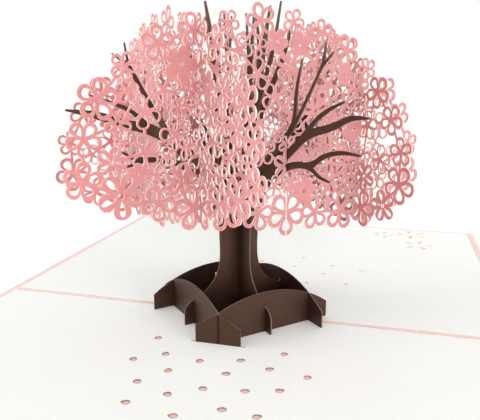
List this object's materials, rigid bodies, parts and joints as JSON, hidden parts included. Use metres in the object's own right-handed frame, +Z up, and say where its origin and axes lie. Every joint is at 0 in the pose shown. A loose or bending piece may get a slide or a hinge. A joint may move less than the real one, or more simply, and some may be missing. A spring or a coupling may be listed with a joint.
{
  "type": "pop-up card",
  "caption": "Folding greeting card, opened flat, with a slotted paper cherry tree standing over its fold: crossed trunk sheets, root arches and lattice blossom crowns.",
  "frame": {"origin": "middle of the fold, on the card's underside", "axes": "+X along the fold, +Y towards the back panel, +Z up through the tree"},
  "size_m": [0.178, 0.254, 0.0993],
  "materials": {
    "cover_card": "matte",
    "liner_card": "matte",
    "brown_card": "matte",
    "blossom_card": "matte"
  },
  "bodies": {
    "root": {"cover": "cover_card", "front_liner": "liner_card", "back_liner": "liner_card", "trunk_sheet_a": "brown_card", "trunk_sheet_b": "brown_card", "front_left_arch": "brown_card", "front_right_arch": "brown_card", "back_left_arch": "brown_card", "back_right_arch": "brown_card", "front_right_crown": "blossom_card", "back_left_crown": "blossom_card", "front_left_crown": "blossom_card", "back_right_crown": "blossom_card"}
  },
  "joints": []
}
